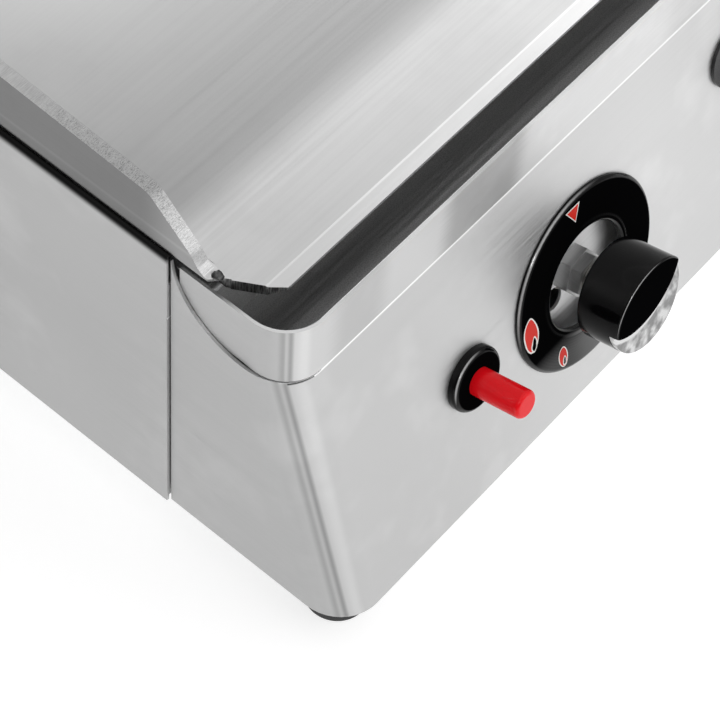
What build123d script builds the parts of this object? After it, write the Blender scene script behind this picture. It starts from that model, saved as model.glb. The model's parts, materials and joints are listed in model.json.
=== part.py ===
"""Countertop gas flat top griddle, built as an assembly of separate pieces.

Millimetres. X runs to the right, Y to the back and Z up. The origin is on the surface that the
griddle stands on, under the middle of the whole outline. Depths (d) are measured backwards from the
bottom front edge of the casing, and heights (h) upwards from the bottom edge of the casing.
"""
import math
import os

from build123d import *

os.makedirs("parts", exist_ok=True)

# Casing
casing_width = 600.0
casing_depth = 450.0
foot_height = 25.0
sheet = 1.2
fit_gap = 0.1
front_width = 597.0
panel_lean = 16.0
panel_slope = 125.1
panel_corner_r = 18.0
cheek_depth = 84.7
cheek_arc_d = 53.5
cheek_arc_lift = 2.75
side_top_h = 155.5
side_front_d = 85.3
side_roll_r = 2.0
casing_top_h = 200.0
foot_side_inset = 23.8
foot_end_inset = 21.3
rear_screw_inset = 8.0
rear_screw_heights = (30.0, 80.0, 130.0)

# Front rim band and grease trough
rim_h = 150.3
band_end_d = 82.0
band_inset = 1.3
band_slit = 0.7
trough_wall = 1.0
trough_floor_h = 121.3
trough_top_h = 147.8
trough_back_d = 70.0
trough_ledge_d = 84.3
trough_bend_r = 1.5
spout_r = 13.0
spout_d = 53.0

# Griddle plate
plate_thickness = 5.0
plate_bend_r = 5.6
plate_inner_r = 3.0
plate_under_h = 152.5
plate_tilt = 0.5
plate_bend_d = 79.5
plate_front_d = 50.3
plate_back_d = 410.0
apron_drop = 2.0
bevel_depth = 4.3
bevel_height = 3.8
wall_front_h = 180.5
wall_back_h = 196.5
wall_toe = (76.4, 164.5)
wall_shoulder_d = 94.3
undercut_h = 156.3
undercut_inset = 4.7
# inset from the side and depth of each point along the cut front corner
corner_cut = ((0.0, 69.5), (4.3, 65.7), (11.9, 53.9), (18.0, 50.3))

# Controls, on the sloped panel: s runs up the slope and n outwards from it
burner_pitch = 297.0
dial_s = 57.2
bezel_r = 40.0
bezel_hole_r = 22.0
knob_r = 20.0
knob_back_n = 12.5
knob_rim_n = 29.4
knob_crown_n = 31.2
knob_crown_tilt = 8.0
crescent_centre = (-5.0, 15.0)
crescent_r = 21.8
insert_depth = 2.5
panel_opening_r = 27.0
tap_plate_n = -6.0
tap_plate_width = 60.0
tap_plate_length = 68.0
tap_neck_r = 6.0
tap_hole = (-11.5, -7.2)
tap_push = 4.0
spindle_r = 4.0
running_gap = 0.06
igniter_offset = -65.6
igniter_s = 60.7
igniter_flange_r = 13.1
button_r = 5.65
button_tip_n = 25.7
button_travel = 6.0
sight_offset = 97.0
sight_s = 91.0

# Gas side
manifold_d = 54.0
manifold_h = 16.0
manifold_r = 10.65
boss_top_h = 28.5
burner_h = 85.0
burner_leg_r = 16.0
burner_leg_offset = 60.0
burner_cross_d = 150.0
burner_end_d = 372.0
inlet_x = 240.0
inlet_thread_r = 10.48
inlet_collar_r = 10.85

# Grease drawer
drawer_half_width = 42.0
drawer_h = (39.0, 68.0)
drawer_back_d = 146.0
handle_reach = 26.0
handle_s = 55.5

front_y = -casing_depth / 2
back_y = casing_depth / 2
half_width = casing_width / 2
front_half = front_width / 2
lean_sin = math.sin(math.radians(panel_lean))
lean_cos = math.cos(math.radians(panel_lean))
crease_d = panel_slope * lean_sin
crease_h = panel_slope * lean_cos
side_inner_x = half_width - sheet
panel = Plane(
    origin=(0, front_y, foot_height), x_dir=(1, 0, 0), z_dir=(0, -lean_cos, lean_sin)
)
sides = {"left": -1, "right": 1}
dial_x = {side: sign * burner_pitch / 2 for side, sign in sides.items()}
foot_x = half_width - foot_side_inset
rear_foot_d = casing_depth - foot_end_inset
foot_places = {
    "front_left": (-foot_x, foot_end_inset),
    "front_right": (foot_x, foot_end_inset),
    "rear_left": (-foot_x, rear_foot_d),
    "rear_right": (foot_x, rear_foot_d),
}


def block(x0, x1, d0, d1, h0, h1):
    """Rectangular solid between two X, two depths and two heights."""
    centre = ((x0 + x1) / 2, front_y + (d0 + d1) / 2, foot_height + (h0 + h1) / 2)
    return Pos(*centre) * Box(abs(x1 - x0), abs(d1 - d0), abs(h1 - h0))


def side_prism(outline, x0, x1):
    """Solid with an outline of (depth, height) points, from x0 to x1."""
    points = [(front_y + d, foot_height + h) for d, h in outline]
    face = Plane.YZ.offset(x0) * Polygon(*points, align=None)
    return extrude(face, amount=x1 - x0, dir=(1, 0, 0))


def plan_prism(outline, h0, h1):
    """Solid with an outline of (x, depth) points, from height h0 to h1."""
    points = [(x, front_y + d) for x, d in outline]
    face = Pos(0, 0, foot_height + h0) * Polygon(*points, align=None)
    return extrude(face, amount=h1 - h0, dir=(0, 0, 1))


def point(x, d, h):
    return Vector(x, front_y + d, foot_height + h)


def rod(start, end, radius, bore=0.0):
    """Round bar or tube between two points."""
    axis = end - start
    frame = Plane(origin=start, z_dir=axis)
    face = Circle(radius) if bore == 0 else Circle(radius) - Circle(bore)
    return extrude(frame * face, amount=axis.length)


def on_panel(x, s, shape):
    """Place a shape drawn round the origin at x and s on the sloped panel."""
    return panel * (Pos(x, s, 0) * shape)


def disc(radius, n0, n1, bore=0.0):
    """Disc or ring between two distances out from the panel."""
    face = Circle(radius) if bore == 0 else Circle(radius) - Circle(bore)
    return extrude(Pos(0, 0, n0) * face, amount=n1 - n0)


def hexagon(across_flats, n0, n1, bore):
    corner_r = across_flats / 2 / math.cos(math.radians(30))
    return extrude(Pos(0, 0, n0) * (RegularPolygon(corner_r, 6) - Circle(bore)), amount=n1 - n0)


def panel_point(x, s, n):
    return panel.from_local_coords(Vector(x, s, n))


def bent_tube(name, points, radius):
    """Tube along straight runs joined by arcs as large as the runs allow."""
    radii = []
    for before, corner, after in zip(points, points[1:], points[2:]):
        run_in = corner - before
        run_out = after - corner
        turn = math.radians(run_in.get_angle(run_out))
        shorter = min(run_in.length, run_out.length)
        radii.append(0.45 * shorter / math.tan(turn / 2))
    print(name, "bend radii", [round(r, 1) for r in radii])
    path = FilletPolyline(*points, radius=radii)
    return sweep(Plane(origin=path @ 0, z_dir=path % 0) * Circle(radius), path=path)


def mirrored(shape):
    return mirror(shape, about=Plane.YZ)


# Front panel with its cheeks and rim band, folded from one sheet
def cheek_cut():
    """Everything above the curved top edge of the cheeks."""
    low_h = crease_h + cheek_arc_lift
    top = 220.0
    outline = [
        (-60, crease_h),
        (crease_d, crease_h),
        (cheek_arc_d, low_h),
        (cheek_arc_d, top),
        (-60, top),
    ]
    front = side_prism(outline, -half_width, half_width)
    arc_depth = cheek_depth + 0.1 - cheek_arc_d
    arc = Plane.YZ * Ellipse(arc_depth, side_top_h - low_h)
    curve = extrude(arc, amount=casing_width, dir=(1, 0, 0))
    curve = Pos(*point(-half_width, cheek_arc_d, side_top_h)) * curve
    return front + curve + block(-half_width, half_width, -60, 100, side_top_h, top)


def rounded_shell(width, y0, y1, z0, z1, corner_r, wall):
    """Open U of upright walls: front wall with rounded corners and two side returns."""
    outer = block(-width / 2, width / 2, y0, y1 + 50, z0, z1)
    front_edges = outer.edges().filter_by(Axis.Z).sort_by(Axis.Y)[:2]
    outer = fillet(front_edges, corner_r)
    inner_edge = width / 2 - wall
    inner = block(-inner_edge, inner_edge, y0 + wall, y1 + 60, z0 - 1, z1 + 1)
    inner_edges = inner.edges().filter_by(Axis.Z).sort_by(Axis.Y)[:2]
    inner = fillet(inner_edges, corner_r - wall)
    return (outer - inner) & block(-width, width, y0 - 1, y1, z0 - 1, z1 + 1)


def rim_band():
    corner_r = panel_corner_r - band_inset
    band = rounded_shell(
        front_width - 2 * band_inset, crease_d, band_end_d, crease_h - 0.6, rim_h, corner_r, sheet
    )
    low_h = crease_h + cheek_arc_lift + band_slit
    outline = [
        (20, crease_h - 3),
        (20, crease_h + band_slit),
        (crease_d, crease_h + band_slit),
        (cheek_arc_d, low_h),
        (100, low_h),
        (100, crease_h - 3),
    ]
    straight = front_half - panel_corner_r
    for sign in (-1, 1):
        x0, x1 = sorted((sign * straight, sign * half_width))
        band -= side_prism(outline, x0, x1)
    return band


def front_panel():
    length = 300.0
    depth = 130.0
    outer = Pos(0, 60, -depth / 2) * Box(front_width, length, depth)
    outer = fillet(outer.edges().filter_by(Axis.Y).sort_by(Axis.Z)[-2:], panel_corner_r)
    inner = Pos(0, 60, -depth / 2 - sheet) * Box(front_width - 2 * sheet, length + 2, depth)
    inner = fillet(inner.edges().filter_by(Axis.Y).sort_by(Axis.Z)[-2:], panel_corner_r - sheet)
    shell = panel * (outer - inner)
    shell &= block(-half_width, half_width, -60, cheek_depth, 0, side_top_h)
    shell -= cheek_cut()
    shell += rim_band()
    flange_x = front_half - panel_corner_r - 4
    shell += block(-flange_x, flange_x, 0.6, 14, 0, sheet)
    for sign in (-1, 1):
        x0, x1 = sorted((sign * (front_half - 0.5), sign * (front_half - 12)))
        shell += block(x0, x1, cheek_depth - sheet, cheek_depth, 6, 112)
    for side in sides:
        x = dial_x[side]
        shell -= on_panel(x, dial_s, disc(panel_opening_r, -8, 2))
        shell -= on_panel(x + igniter_offset, igniter_s, disc(9.2, -8, 2))
        shell -= on_panel(x + sight_offset, sight_s, disc(10.2, -8, 2))
    opening_x = drawer_half_width + 1.5
    low, high = drawer_h
    shell -= block(-opening_x, opening_x, -20, 40, low - 1.5, high + 1.5)
    return shell


# Rest of the casing
def side_panel():
    """Left side panel: flat sheet with a rolled top lip and return flanges."""
    back_d = casing_depth - sheet - fit_gap
    wall = block(-half_width, -side_inner_x, side_front_d, back_d, 0, side_top_h)
    lip_x = -half_width + side_roll_r
    lip = block(-half_width, lip_x, side_front_d, back_d, side_top_h - sheet, side_top_h)
    shape = wall + lip
    corner = shape.edges().filter_by(Axis.Y).group_by(Axis.Z)[-1].sort_by(Axis.X)[0]
    shape = fillet(corner, side_roll_r - 0.2)
    inner_x = -half_width + 14
    start_x = -half_width + 0.4
    shape += block(start_x, inner_x, side_front_d, side_front_d + sheet, 3, 140)
    shape += block(start_x, inner_x, side_front_d + 4, back_d - 4, 0, sheet)
    shape += block(start_x, inner_x, back_d - sheet, back_d, 3, 148)
    screw_x = -half_width + rear_screw_inset
    for h in rear_screw_heights:
        shape -= rod(point(screw_x, back_d - 6, h), point(screw_x, back_d + 2, h), 2.1)
    return shape


def rear_panel():
    front_d = casing_depth - sheet
    shape = block(-half_width, half_width, front_d, casing_depth, 0, casing_top_h - 4)
    for sign in sides.values():
        for h in rear_screw_heights:
            x = sign * (half_width - rear_screw_inset)
            shape -= rod(point(x, casing_depth - 4, h), point(x, casing_depth + 4, h), 2.1)
    inlet_line = [point(inlet_x, d, manifold_h) for d in (casing_depth - 6, casing_depth + 6)]
    shape -= rod(*inlet_line, inlet_collar_r + 0.05)
    slot_count = 9
    for row_h in (60.0, 90.0, 120.0):
        for index in range(slot_count):
            x = (index - (slot_count - 1) / 2) * 50.0
            slot = Plane.XZ * SlotOverall(34, 6)
            centre = point(x, casing_depth + 4, row_h)
            shape -= Pos(*centre) * extrude(slot, amount=12, dir=(0, -1, 0))
    return shape


def base_panel():
    low = sheet + fit_gap
    high = low + sheet
    edge = side_inner_x - 16
    side_edge = side_inner_x - 1
    front_edge = front_half - 16
    shape = block(-edge, edge, 16, casing_depth - 6, low, high)
    shape += block(-side_edge, side_edge, 92, casing_depth - 8, low, high - fit_gap)
    shape += block(-front_edge, front_edge, 8, 70, low, high)
    for index in range(11):
        x = (index - 5) * 36.0
        for d in (190.0, 300.0):
            slot = Pos(*point(x, d, 0)) * SlotOverall(60, 8, rotation=90)
            shape -= extrude(slot, amount=6, dir=(0, 0, 1))
    for x, d in foot_places.values():
        shape -= rod(point(x, d, -2), point(x, d, 6), 4.2)
    return shape


def foot(x, d):
    """Rubber foot, tapered, moulded round a bore for its screw."""
    bore = 4.0
    low = -foot_height
    top = -0.05
    profile = Polyline((bore, low), (11.4, low), (12.7, low + 1.3), (15.5, top), (bore, top), close=True)
    body = revolve(Plane.XZ * make_face(profile), Axis.Z)
    return Pos(*point(x, d, 0)) * body


def flue_box():
    """Riser behind the plate that lets the burnt gas out through slots in its top."""
    d0 = plate_back_d + 3
    d1 = casing_depth - sheet - 0.2
    width = front_half - 1.5
    shape = block(-width, width, d0, d1, 150, casing_top_h)
    shape -= block(-width + sheet, width - sheet, d0 + sheet, d1 - sheet, 140, casing_top_h - sheet)
    slot_count = 13
    for index in range(slot_count):
        x = (index - (slot_count - 1) / 2) * 42.0
        slot = Pos(*point(x, (d0 + d1) / 2, casing_top_h - 4)) * SlotOverall(32, 14)
        shape -= extrude(slot, amount=8, dir=(0, 0, 1))
    return shape


# Griddle plate
def griddle_plate():
    """Thick plate folded up at the sides and back, its front edge bent down and bevelled."""
    top_h = plate_under_h + 60
    outer = block(-front_half, front_half, plate_front_d, plate_back_d, plate_under_h, top_h)
    low_edges = outer.edges().group_by(Axis.Z)[0]
    bends = low_edges.filter_by(Axis.Y) + low_edges.filter_by(Axis.X).sort_by(Axis.Y)[-1:]
    uprights = outer.edges().filter_by(Axis.Z).sort_by(Axis.Y)[-2:]
    outer = fillet(bends + uprights, plate_bend_r)
    t = plate_thickness
    inner_h = plate_under_h + t
    inner = block(-front_half + t, front_half - t, plate_front_d - 9, plate_back_d - t, inner_h, top_h + 5)
    low_edges = inner.edges().group_by(Axis.Z)[0]
    bends = low_edges.filter_by(Axis.Y) + low_edges.filter_by(Axis.X).sort_by(Axis.Y)[-1:]
    uprights = inner.edges().filter_by(Axis.Z).sort_by(Axis.Y)[-2:]
    inner = fillet(bends + uprights, plate_inner_r)
    pan = outer - inner
    # walls rise towards the back, and their front ends slope down to the plate
    toe_d, toe_h = wall_toe
    clear_h = 300.0
    outline = [
        (0, inner_h + 0.05),
        (toe_d - 6.4, inner_h + 0.05),
        (toe_d - 3.2, inner_h + 2.3),
        wall_toe,
        (wall_shoulder_d, wall_front_h),
        (plate_back_d + 5, wall_back_h),
        (plate_back_d + 5, clear_h),
        (0, clear_h),
    ]
    trim = side_prism(outline, -half_width, half_width)
    for corner, corner_r in ((wall_toe, 12.0), ((wall_shoulder_d, wall_front_h), 8.0)):
        nearest = trim.edges().filter_by(Axis.X).sort_by_distance(point(0, *corner))[:1]
        trim = fillet(nearest, corner_r)
    pan -= trim
    # the bend is ground away underneath near the front corners
    under = [(60, 150), (97, 152), (74, undercut_h), (60, undercut_h)]
    for sign in (-1, 1):
        x0, x1 = sorted((sign * (front_half - undercut_inset), sign * half_width))
        pan -= side_prism(under, x0, x1)
    # front strip droops and ends in a bevel
    run = plate_bend_d - plate_front_d
    drop = run * math.tan(math.radians(apron_drop))
    top_front = inner_h - drop * (run - bevel_depth) / run
    apron_half = front_half - plate_bend_r
    above = [
        (plate_front_d - 20, top_front - bevel_height),
        (plate_front_d, top_front - bevel_height),
        (plate_front_d + bevel_depth, top_front),
        (plate_bend_d, inner_h),
        (plate_bend_d, inner_h + 0.79),
        (plate_front_d - 20, inner_h + 0.79),
    ]
    below = [
        (plate_front_d, plate_under_h - drop),
        (plate_bend_d, plate_under_h),
        (plate_bend_d, plate_under_h + 0.5),
        (plate_front_d, plate_under_h + 0.5),
    ]
    pan += side_prism(below, -apron_half, apron_half)
    pan -= side_prism(above, -apron_half, apron_half)
    # front corners are cut off at an angle
    for sign in (-1, 1):
        line = [(sign * (front_half - inset), d) for inset, d in corner_cut]
        outer_x = sign * (front_half + 10)
        last_x = line[-1][0]
        corner = [(outer_x, plate_front_d - 5), (outer_x, corner_cut[0][1])]
        corner += line + [(last_x, plate_front_d - 5)]
        pan -= plan_prism(corner, plate_under_h - 5, toe_h - 2)
    return tilted(pan)


def tilted(shape):
    """Lean a shape back with the plate."""
    return shape.rotate(Axis(point(0, plate_bend_d, plate_under_h), (1, 0, 0)), plate_tilt)


def plate_rail():
    """Left angle rail that carries the plate."""
    x0 = -side_inner_x
    top_h = plate_under_h - 0.05
    ledge = block(x0, x0 + 30, 95, 400, top_h - 2, top_h)
    web = block(x0, x0 + 2, 95, 400, top_h - 26, top_h)
    lip_x = -half_width + side_roll_r + 0.1
    lip_space = block(-half_width, lip_x, 90, 410, side_top_h - sheet - 0.4, side_top_h + 5)
    return tilted(ledge + web) - lip_space


def crossbar(d):
    """Channel that ties the two rails under the plate."""
    x = side_inner_x - 2 - fit_gap
    top_h = plate_under_h - 0.05 - 2 - fit_gap
    bar = block(-x, x, d, d + 20, top_h - 20, top_h)
    bar -= block(-x - 1, x + 1, d + 2, d + 18, top_h - 21, top_h - 2)
    return tilted(bar)


# Grease trough and drawer
def grease_trough():
    """Open channel in front of the plate, with a ledge behind and a spout down to the drawer."""
    gap = band_inset + sheet + fit_gap
    half = front_half - gap
    d0 = crease_d + sheet + fit_gap
    t = trough_wall
    corner_r = panel_corner_r - gap
    shape = block(-half, half, d0, trough_back_d, trough_floor_h, trough_top_h)
    uprights = shape.edges().filter_by(Axis.Z).sort_by(Axis.Y)
    shape = fillet(uprights[:2], corner_r)
    inner_x = half - t
    inner_d = trough_back_d - t
    hollow = block(-inner_x, inner_x, d0 + t, inner_d, trough_floor_h + t, trough_top_h + 9)
    uprights = hollow.edges().filter_by(Axis.Z).sort_by(Axis.Y)
    shape -= fillet(uprights[:2], corner_r - t)
    shape += block(-half, half, inner_d, trough_ledge_d, trough_top_h - t, trough_top_h)
    bend = point(0, inner_d, trough_top_h)
    bend_edge = shape.edges().filter_by(Axis.X).sort_by_distance(bend)[:1]
    shape = fillet(bend_edge, trough_bend_r)
    low = drawer_h[1] + 6
    shape += rod(point(0, spout_d, low), point(0, spout_d, trough_floor_h + 0.5), spout_r)
    shape -= rod(point(0, spout_d, low - 1), point(0, spout_d, trough_floor_h + 4), spout_r - 1.2)
    return shape


def front_plane_cut():
    """Everything in front of the drawer front's back face."""
    return panel * (Pos(0, 50, 50 + fit_gap) * Box(700, 300, 100))


def grease_drawer():
    w = drawer_half_width
    low, high = drawer_h
    tray = block(-w, w, -20, drawer_back_d, low, high)
    tray -= block(-w + 1, w - 1, -30, drawer_back_d - 1, low + 1, high + 5)
    tray -= front_plane_cut()
    s0 = (low - 4) / lean_cos
    s1 = (high + 5) / lean_cos
    front = Pos(0, (s0 + s1) / 2, fit_gap + sheet / 2) * Box(2 * w + 10, s1 - s0, sheet)
    front = fillet(front.edges().filter_by(Axis.Z), 4)
    shape = tray + panel * front
    for x in (-handle_reach, handle_reach):
        shape -= on_panel(x, handle_s, disc(2.1, -6, 6))
    return shape


def drawer_handle():
    """Bow handle on two posts."""
    post_r = 4.0
    out = 17.0
    n0 = fit_gap + sheet
    shape = Part()
    for x in (-handle_reach, handle_reach):
        shape += on_panel(x, handle_s, disc(post_r, n0, n0 + out))
        shape += on_panel(x, handle_s, disc(2.0, -4, n0))
    ends = [panel_point(sign * (handle_reach + 6), handle_s, n0 + out) for sign in (-1, 1)]
    return shape + rod(*ends, 5.0)


def drawer_runner():
    """Left runner: foot on the base, web beside the drawer and ledge under it."""
    w = drawer_half_width
    low = drawer_h[0]
    base_h = 2 * sheet + fit_gap
    web_x = -w - 0.6
    web = block(web_x - sheet, web_x, 72, 150, base_h, drawer_h[1])
    ledge = block(web_x - sheet, -w + 8, 72, 150, low - sheet - 0.05, low - 0.05)
    foot_strip = block(web_x - 16, web_x, 72, 150, base_h, base_h + sheet)
    return web + ledge + foot_strip


# Gas side
def gas_manifold():
    """Pipe across the front with a boss under each tap, bent back to the inlet."""
    start = point(-200, manifold_d, manifold_h)
    corner = point(inlet_x, manifold_d, manifold_h)
    end = point(inlet_x, casing_depth - 22, manifold_h)
    path = FilletPolyline(start, corner, end, radius=38)
    ring = Plane(origin=path @ 0, z_dir=path % 0)
    pipe = sweep(ring * Circle(manifold_r), path=path)
    bosses = Part()
    for x in dial_x.values():
        bosses += rod(point(x, manifold_d, manifold_h), point(x, manifold_d, boss_top_h), 8.5)
    pipe += bosses
    bore_start = start + Vector(2.6, 0, 0)
    bore_path = FilletPolyline(bore_start, corner, end, radius=38)
    bore_ring = Plane(origin=bore_path @ 0, z_dir=bore_path % 0)
    pipe -= sweep(bore_ring * Circle(manifold_r - 2.6), path=bore_path)
    for x in dial_x.values():
        pipe -= rod(point(x, manifold_d, manifold_h), point(x, manifold_d, boss_top_h + 1), 4.0)
    return pipe


def inlet_connector(reach):
    """Socket on the manifold, collar in the rear panel and threaded nipple outside it."""
    bore = 6.0
    start = point(inlet_x, casing_depth - 22 + fit_gap, manifold_h)
    shoulder = point(inlet_x, casing_depth - sheet - fit_gap, manifold_h)
    outside = point(inlet_x, casing_depth, manifold_h)
    end = point(inlet_x, casing_depth + reach, manifold_h)
    socket = rod(start, shoulder, 13.0, bore)
    collar = rod(shoulder, outside, inlet_collar_r, bore)
    return socket + collar + rod(outside, end, inlet_thread_r, bore)


def valve_body(x):
    """Brass tap body behind its plate, its threaded neck through it, on the manifold boss."""
    plate_back_n = tap_plate_n - sheet - 0.05
    body = on_panel(x, dial_s, disc(13, -42, -13.4) + disc(9.4, -14, plate_back_n))
    neck = on_panel(x, dial_s, disc(tap_neck_r, -8, 5.0))
    stub = rod(point(x, manifold_d, boss_top_h), point(x, manifold_d, boss_top_h + 12), 6.0)
    outlet_n = -25.0
    outlet = rod(panel_point(x, dial_s + 8, outlet_n), panel_point(x, dial_s + 18, outlet_n), 6.5)
    shape = body + neck + stub + outlet
    shape -= on_panel(x, dial_s, disc(spindle_r + running_gap, -20, 10))
    shape -= on_panel(x, dial_s, disc(8.0 + running_gap, -36, -14))
    shape -= on_panel(x, dial_s, disc(3.0, -43, -35))
    shape -= rod(panel_point(x, dial_s + 7, outlet_n), panel_point(x, dial_s + 19, outlet_n), 2.5)
    return shape


def tap_plug(x):
    """Plug that turns in the tap body and keys the spindle."""
    plug = disc(8.0, -35.9, -14.1)
    socket = Pos(0, 0, -22.5) * Box(5.2, 5.2, 17.2)
    return on_panel(x, dial_s, plug - socket)


def spindle(x):
    """Spindle: square tang in the plug, round shank, flat at the knob end."""
    tang = Pos(0, 0, -19.5) * Box(5.0, 5.0, 12.0)
    shank = disc(spindle_r, -13.9 + tap_push, 24.0)
    flat = Pos(0, spindle_r, 18.5) * Box(12, 2.4, 12)
    join = Pos(0, 0, -12.0) * Box(5.0, 5.0, 6.0)
    return on_panel(x, dial_s, (shank - flat) + tang + join)


def control_nuts():
    """Lock nut and gland nut on each tap neck, and the nut of each igniter."""
    bore = tap_neck_r + 0.03
    igniter_n = -sheet - 0.05
    nuts = Part()
    for x in dial_x.values():
        nuts += on_panel(x, dial_s, Rot(0, 0, 5) * hexagon(17.6, tap_plate_n + 0.05, 0.0, bore))
        nuts += on_panel(x, dial_s, Rot(0, 0, 8) * hexagon(15.4, 0.05, 4.3, bore))
        nut = hexagon(24, igniter_n - 5, igniter_n, 9.03)
        nuts += on_panel(x + igniter_offset, igniter_s, nut)
    return nuts


def tap_plate(x):
    """Hat-shaped plate behind the panel's round opening, which carries the tap."""
    web_n = tap_plate_n - sheet / 2
    top_n = -sheet - 0.05
    shape = Pos(0, 0, web_n) * Box(tap_plate_width, tap_plate_length, sheet)
    for sign in (-1, 1):
        leg_s = sign * (tap_plate_length - sheet) / 2
        leg_height = top_n - tap_plate_n + sheet
        leg = Box(tap_plate_width, sheet, leg_height)
        shape += Pos(0, leg_s, top_n - leg_height / 2) * leg
        shape += Pos(0, leg_s + sign * 5, top_n - sheet / 2) * Box(tap_plate_width, 10, sheet)
    shape -= Pos(*tap_hole, 0) * disc(5.0, -9, 0)
    shape -= disc(tap_neck_r + 0.2, -9, 0)
    return on_panel(x, dial_s, shape)


def bezel(x):
    """Thin round dial plate with a rounded rim and a raised lip round its wide opening."""
    outer = bezel_r
    hole = bezel_hole_r
    rim = Spline((outer, 0.9), (outer - 0.7, 1.7), (outer - 2.4, 2.1))
    face = Line((outer - 2.4, 2.1), (hole + 4.0, 1.9))
    lip = Spline((hole + 4.0, 1.9), (hole + 2.4, 2.05), (hole + 1.0, 2.3), (hole, 1.7))
    base = Polyline((hole, 1.7), (hole, 0.05), (outer, 0.05), (outer, 0.9))
    return on_panel(x, dial_s, revolve(Plane.XZ * make_face(rim + face + lip + base), Axis.Z))


def knob(x):
    """Round knob: sloping crown, with a recess for the bright crescent below and beside it."""
    hub_r = 9.0
    skirt_inner_r = 16.5
    end_n = 24.1
    body = disc(knob_r, knob_back_n, knob_crown_n + 6)
    above = Rot(knob_crown_tilt, 0, 0) * Pos(0, 0, 20) * Box(80, 80, 40)
    body -= Pos(0, 0, knob_crown_n) * above
    body = fillet(body.faces().sort_by(Axis.Z)[-1].edges(), 0.8)
    body = fillet(body.edges().group_by(Axis.Z)[0], 0.8)
    crown = Pos(*crescent_centre, 0) * disc(crescent_r, 0, 50)
    body -= disc(knob_r + 5, knob_rim_n - insert_depth, 50) - crown
    body -= disc(skirt_inner_r, knob_back_n - 1, knob_back_n + 3, hub_r)
    body -= disc(spindle_r + 0.02, knob_back_n - 1, end_n)
    key_bottom = spindle_r - 1.1
    key = Pos(0, key_bottom + 1.0, (knob_back_n + 0.5 + end_n) / 2) * Box(6, 2.0, end_n - 13.0)
    return on_panel(x, dial_s, body + key)


def knob_insert(x):
    """Bright crescent let into the knob's face."""
    plate = disc(knob_r - 0.1, knob_rim_n - insert_depth + 0.05, knob_rim_n)
    plate -= Pos(*crescent_centre, 0) * disc(crescent_r + 0.1, 0, 50)
    return on_panel(x, dial_s, plate)


def igniter_body(x):
    """Piezo igniter: flange outside the panel and sleeve through it."""
    flange = disc(igniter_flange_r, 0.05, 4.0)
    flange = fillet(flange.edges().group_by(Axis.Z)[-1], 2.2)
    sleeve = disc(9.0, -40, 1)
    terminal = disc(3.0, -44, -39)
    bore = disc(button_r + running_gap, -34, 5)
    return on_panel(x, igniter_s, flange + sleeve + terminal - bore)


def igniter_button(x):
    button = disc(button_r, -14, button_tip_n)
    button = fillet(button.edges().group_by(Axis.Z)[-1], 1.6)
    return on_panel(x, igniter_s, button)


def igniter_spring(x):
    """Return spring behind the button, drawn at its pressed length."""
    wire_r = 0.45
    coil_r = 4.2
    start_n = -34 + button_travel + wire_r + 0.4
    length = -14 - wire_r - 0.1 - start_n
    path = Helix(pitch=length / 6, height=length, radius=coil_r)
    section = Plane(origin=path @ 0, z_dir=path % 0) * Circle(wire_r)
    coil = sweep(section, path=path, is_frenet=True)
    return on_panel(x, igniter_s, Pos(0, 0, start_n) * coil)


def burner(x):
    """Two-leg tubular burner with a venturi, ports along the top of both legs."""
    wall = 1.2
    venturi_front_d = 98.0

    def pieces(shrink):
        left = x - burner_leg_offset
        right = x + burner_leg_offset
        r = burner_leg_r - shrink
        end = burner_end_d - shrink
        shape = rod(point(left, burner_cross_d, burner_h), point(left, end, burner_h), r)
        shape += rod(point(right, burner_cross_d, burner_h), point(right, end, burner_h), r)
        shape += rod(point(left, burner_cross_d, burner_h), point(right, burner_cross_d, burner_h), r)
        shape += Pos(*point(left, burner_cross_d, burner_h)) * Sphere(r)
        shape += Pos(*point(right, burner_cross_d, burner_h)) * Sphere(r)
        front = venturi_front_d if shrink == 0 else venturi_front_d - 1
        shape += rod(point(x, front, burner_h), point(x, burner_cross_d, burner_h), 12.0 - shrink)
        return shape

    shape = pieces(0) - pieces(wall)
    port_count = 14
    for leg_x in (x - burner_leg_offset, x + burner_leg_offset):
        for index in range(port_count):
            d = burner_cross_d + 18 + index * 14.5
            top = burner_h + burner_leg_r
            shape -= block(leg_x - 6, leg_x + 6, d - 1, d + 1, top - 5, top + 2)
    return shape


def burner_bracket(d):
    """Cross strip on edge that carries both burners in round seats."""
    x = side_inner_x - 0.05
    h0 = burner_h - 24
    h1 = burner_h - 4
    shape = block(-x, x, d, d + 2, h0, h1)
    for sign in sides.values():
        x0, x1 = sorted((sign * x, sign * (x - 2)))
        shape += block(x0, x1, d, d + 18, h0, h1)
    for centre in dial_x.values():
        for offset in (-burner_leg_offset, burner_leg_offset):
            leg_x = centre + offset
            seat = rod(
                point(leg_x, d - 2, burner_h), point(leg_x, d + 4, burner_h), burner_leg_r + 0.05
            )
            shape -= seat
    return shape


def injector(x):
    """Brass nozzle at the mouth of the venturi."""
    holder = rod(point(x, 84, burner_h), point(x, 94, burner_h), 7.0, 2.0)
    tip = rod(point(x, 94, burner_h), point(x, 101, burner_h), 4.0, 0.8)
    return holder + tip


def feed_pipe(x):
    """Bent tube from the tap outlet up and back to the injector."""
    start = panel_point(x, dial_s + 18.05, -25)
    rise = Vector(0, lean_sin, lean_cos)
    corner_h = burner_h
    length = (foot_height + corner_h - start.Z) / rise.Z
    corner = start + rise * length
    end = point(x, 83.95, burner_h)
    return bent_tube("feed_pipe", [start, corner, end], 4.0)


def electrode(x):
    """Ceramic rod with its spark wire beside the burner's cross tube."""
    ex = x - 30
    d = burner_cross_d - burner_leg_r - 8
    rod_low = burner_h - 18
    rod_high = burner_h + 20
    ceramic = rod(point(ex, d, rod_low), point(ex, d, rod_high), 3.5)
    wire = rod(point(ex, d, rod_high), point(ex, d, rod_high + 10), 1.0)
    return ceramic + wire


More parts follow.
